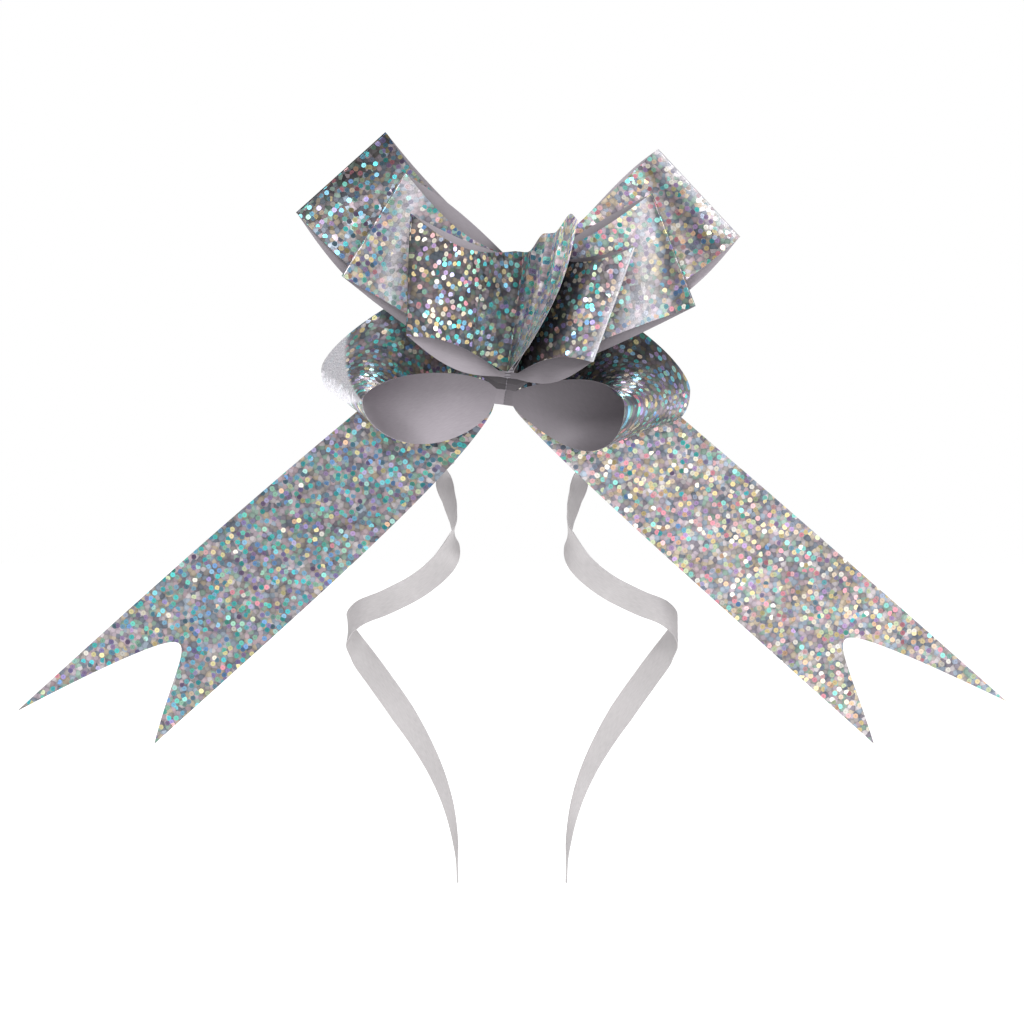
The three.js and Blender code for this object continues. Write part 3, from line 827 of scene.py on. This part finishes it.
def add_tail(side_name, spec, materials):
    name = f"tail_{side_name}"
    side = -1 if side_name == "left" else 1
    across = shares(TAIL_ACROSS)
    root_low = waist_point(0, 0) + ACROSS_WELD * (side * ROOT_OFFSET)
    root_high = waist_point(0, 1) + ACROSS_WELD * (side * ROOT_OFFSET)
    root_back = root_low.y + ROOT_DEPTH
    root_low.y = root_back
    root_high.y = root_back
    tip_low = Vector((spec["inner_tip"][0], root_back, spec["inner_tip"][1]))
    tip_high = Vector((spec["outer_tip"][0], root_back, spec["outer_tip"][1]))
    length = ((tip_low - root_low).length + (tip_high - root_high).length) / 2
    rows, looks = [], []
    for part in shares(SEAL_STEPS)[:-1]:
        rows.append([seal_point(0, side, 1, share, part) for share in across])
        looks.append([look_at(name, 0, share) for share in across])
    for step in shares(TAIL_STEPS):
        row, line = [], []
        for share in across:
            travel = step * tail_end(share, length)
            root = root_low.lerp(root_high, share)
            point = root.lerp(tip_low.lerp(tip_high, share), travel)
            point.y += TAIL_DRIFT * travel + TAIL_WAVE * math.sin(math.pi * travel) ** 2
            point.z -= spec["dip"] * (1 - share) * math.sin(math.pi * math.sqrt(travel))
            point.z += spec["crown"] * share * math.sin(math.pi * travel)
            row.append(point + flutter(point, 9 + side, TAIL_FLUTTER * ease(0, TAIL_FLUTTER_FROM, travel)))
            line.append(look_at(name, travel, share))
        rows.append(row)
        looks.append(line)
    piece, _ = film_piece(
        name + "_film", rows, FILM_THICKNESS, materials, looks,
        reverse=side > 0, uv_start=TAIL_PATTERN + LOOP_PATTERN_STEP * side,
    )
    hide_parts(name)
    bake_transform(piece)
    return piece


# ---------------------------------------------------------------- end tabs
def tab_start(share, part):
    """The front tab is one film with the last left loop: part runs from 0 on the loop to 1 on the weld."""
    last_loop = LOOPS["loop_left_4"]
    on_loop = leg_point(last_loop, -1, True, share, TAB_OVERLAP * (1 - part)) + FORWARD * TAB_PROUD
    weld = waist_point(WELD_COUNT - 1, share) + FORWARD * ROOT_DEPTH
    return on_loop.lerp(weld, part ** 3)


def tab_point(spec, share, travel):
    """A point of a tab: travel runs from 0 at the weld to 1 at the free end."""
    root = waist_point(WELD_COUNT - 1, share) + ACROSS_WELD * spec["root_shift"] + FORWARD * ROOT_DEPTH
    end = Vector(spec["low_end"]).lerp(Vector(spec["high_end"]), share)
    point = root.lerp(end, travel)
    point.x += spec["bow"] * math.sin(math.pi * share) * travel
    point.y = root.y + (end.y - root.y) * travel ** TAB_RISE
    pleat_depth = TAB_PLEAT * travel * (TAB_LOW_PLEAT + (1 - TAB_LOW_PLEAT) * share)
    point += FORWARD * (pleat_depth * math.sin(2 * math.pi * TAB_PLEATS * travel))
    whole, part = divmod(travel * TAB_STEPS_UP, 1)
    stepped = (whole + ease(*TAB_STEP_RUN, part)) / TAB_STEPS_UP
    upper = ease(TAB_STEP_FROM, 1, share)
    point.z += (end.z - root.z) * (stepped - travel) * upper
    point.z -= TAB_CORNER * ease(TAB_CORNER_FROM[0], 1, travel) * ease(TAB_CORNER_FROM[1], 1, share)
    return point


def add_tab(name, spec, materials):
    across = shares(TAIL_ACROSS)
    rows, looks = [], []
    if name == "end_tab_front":
        for part in shares(TAB_JOIN_STEPS)[:-1]:
            rows.append([tab_start(share, part) for share in across])
            on_loop = TAB_OVERLAP * (1 - part)
            looks.append([look_at("loop_left_4", on_loop, share) for share in across])
    for travel in shares(TAB_STEPS):
        rows.append([tab_point(spec, share, travel) for share in across])
        looks.append([look_at(name, travel, share) for share in across])
    piece, length = film_piece(
        name + "_film", rows, FILM_THICKNESS, materials, looks, reverse=True, uv_start=TAB_PATTERN,
    )
    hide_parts(name)
    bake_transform(piece)
    return piece


# ---------------------------------------------------------------- pull ribbons
def centripetal(points, steps_each):
    """Points along the smooth centripetal curve through the given points."""
    ends = [points[0] * 2 - points[1], *points, points[-1] * 2 - points[-2]]
    line = []
    for index in range(1, len(ends) - 2):
        a, b, c, d = ends[index - 1:index + 3]
        gaps = [math.sqrt((q - p).length) for p, q in ((a, b), (b, c), (c, d))]
        leave = (b - a) / gaps[0] - (c - a) / (gaps[0] + gaps[1]) + (c - b) / gaps[1]
        arrive = (c - b) / gaps[1] - (d - b) / (gaps[1] + gaps[2]) + (d - c) / gaps[2]
        leave *= gaps[1]
        arrive *= gaps[1]
        for step in range(steps_each):
            t = step / steps_each
            line.append(
                b * (2 * t ** 3 - 3 * t ** 2 + 1) + leave * (t ** 3 - 2 * t ** 2 + t)
                + c * (3 * t ** 2 - 2 * t ** 3) + arrive * (t ** 3 - t ** 2)
            )
    line.append(points[-1].copy())
    return line


def evenly(line, steps):
    """The same line with its points equally far apart, and its length."""
    lengths = [0.0]
    for before, after in zip(line, line[1:]):
        lengths.append(lengths[-1] + (after - before).length)
    spaced = []
    index = 0
    for share in shares(steps):
        wanted = share * lengths[-1]
        while index < len(line) - 2 and lengths[index + 1] < wanted:
            index += 1
        part = (wanted - lengths[index]) / (lengths[index + 1] - lengths[index])
        spaced.append(line[index].lerp(line[index + 1], part))
    return spaced, lengths[-1]


def add_pull_ribbon(side_name, material):
    name = f"pull_ribbon_{side_name}"
    side = -1 if side_name == "left" else 1
    start = STRING_AXIS * -(EXIT_LENGTH + PIECE_GAP + PULL_CLEAR)
    start += ACROSS_WELD * (side * (PULL_OFFSET + PULL_CLEAR))
    leaving = start - STRING_AXIS * PULL_LEAVE + ACROSS_WELD * (side * PULL_THICKNESS)
    points = [Vector((-side * x, y, z)) for x, y, z in PULL_ROUTE]
    line, length = evenly(centripetal([start, leaving, *points], CURVE_STEPS), PULL_STEPS)
    rows = []
    for index, middle in enumerate(line):
        travel = index / PULL_STEPS
        run = (line[min(index + 1, PULL_STEPS)] - line[max(index - 1, 0)]).normalized()
        squared = 1 - CURL_LIFT * max(0, run.y)
        widthways = (UP - run * (UP.dot(run) * squared)).normalized()
        straight = ALONG_WELD * (STRING_SECTION / PULL_WIDTH)
        widthways = widthways.lerp(straight, max(0, 1 - travel / STRAIGHT_SHARE))
        outward = run.cross(widthways).normalized()
        left = length * (1 - travel)
        width = PULL_TIP_WIDTH + (PULL_WIDTH - PULL_TIP_WIDTH) * min(1, left / PULL_TAPER)
        row = []
        for share in shares(PULL_ACROSS):
            camber = PULL_CAMBER * (1 - (2 * share - 1) ** 2) * min(1, left / PULL_TAPER)
            row.append(middle + widthways * ((share - 0.5) * width) + outward * camber)
        rows.append(row)
    piece, _ = film_piece(name + "_film", rows, PULL_THICKNESS, [material] * 3)
    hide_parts(name)
    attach(piece, name)
    return piece


# ---------------------------------------------------------------- floor and light
FLOOR_BELOW = 0.006  # the floor lies this far under the lowest point
FLOOR_RADIUS = 8.0
LIGHTING_STRENGTH = 0.55  # of the surround as it lights the bow
SEEN_STRENGTH = 1.0  # of the surround as it is seen


def add_floor():
    bpy.ops.object.select_all(action="DESELECT")
    height = cad_box[0][2] - FLOOR_BELOW
    bpy.ops.mesh.primitive_circle_add(
        vertices=96, radius=FLOOR_RADIUS, fill_type="NGON", location=(0, 0, height),
    )
    floor = bpy.context.object
    floor.name = "floor"
    material = bpy.data.materials.new("white_floor")
    material.use_nodes = True
    shader = material.node_tree.nodes["Principled BSDF"]
    shader.inputs["Base Color"].default_value = (0.55, 0.55, 0.55, 1)
    shader.inputs["Roughness"].default_value = 0.9
    shader.inputs["Emission Color"].default_value = (1, 1, 1, 1)
    shader.inputs["Emission Strength"].default_value = 0.85
    floor.data.materials.append(material)


def add_area_light(name, place, size, power, target=(0, 0, -0.02)):
    data = bpy.data.lights.new(name, "AREA")
    data.shape = "DISK"
    data.size = size
    data.energy = power
    light = bpy.data.objects.new(name, data)
    bpy.context.collection.objects.link(light)
    light.location = place
    light.rotation_euler = (Vector(target) - Vector(place)).to_track_quat("-Z", "Y").to_euler()


def add_world():
    """A white surround to look at, and a softer grey one to light the bow."""
    world = bpy.data.worlds.new("studio")
    bpy.context.scene.world = world
    world.use_nodes = True
    tree = world.node_tree
    shader = tree.nodes["Background"]
    path = tree.nodes.new("ShaderNodeLightPath")
    strength = tree.nodes.new("ShaderNodeMapRange")
    tree.links.new(path.outputs["Is Camera Ray"], strength.inputs[0])
    strength.inputs["To Min"].default_value = LIGHTING_STRENGTH
    strength.inputs["To Max"].default_value = SEEN_STRENGTH
    shader.inputs["Color"].default_value = (1, 1, 1, 1)
    tree.links.new(strength.outputs[0], shader.inputs["Strength"])


def add_lights():
    add_area_light("key", (-0.55, -0.9, 0.75), size=0.5, power=7.0)
    add_area_light("fill", (0.9, -0.7, 0.35), size=0.6, power=4.0)
    add_area_light("back", (0.1, 0.8, 0.8), size=0.5, power=5.0)


# ---------------------------------------------------------------- the bow
def main():
    bpy.context.scene.view_settings.view_transform = "Standard"
    add_camera()
    pull_film = satin_material("pull_film", (0.47, 0.45, 0.455), 1.6, 0.5)
    for side_name in ("left", "right"):
        add_pull_ribbon(side_name, pull_film)

    dot_film = dot_film_material()
    satin = satin_material("film_back", (0.33, 0.30, 0.33), 1.6, 0.54)
    for name, spec in LOOPS.items():
        add_loop(name, spec, [dot_film, satin, satin])
    for side_name, spec in TAILS.items():
        add_tail(side_name, spec, [satin, dot_film, satin])
    for name, spec in TABS.items():
        add_tab(name, spec, [satin, dot_film, satin])

    sealed = weld_material()
    string_film = string_material()
    for name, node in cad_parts.items():
        if name.startswith("waist_weld"):
            node.material_slots[0].material = sealed
        if name.startswith("string_run"):
            node.material_slots[0].material = string_film

    add_floor()
    add_world()
    add_lights()


main()
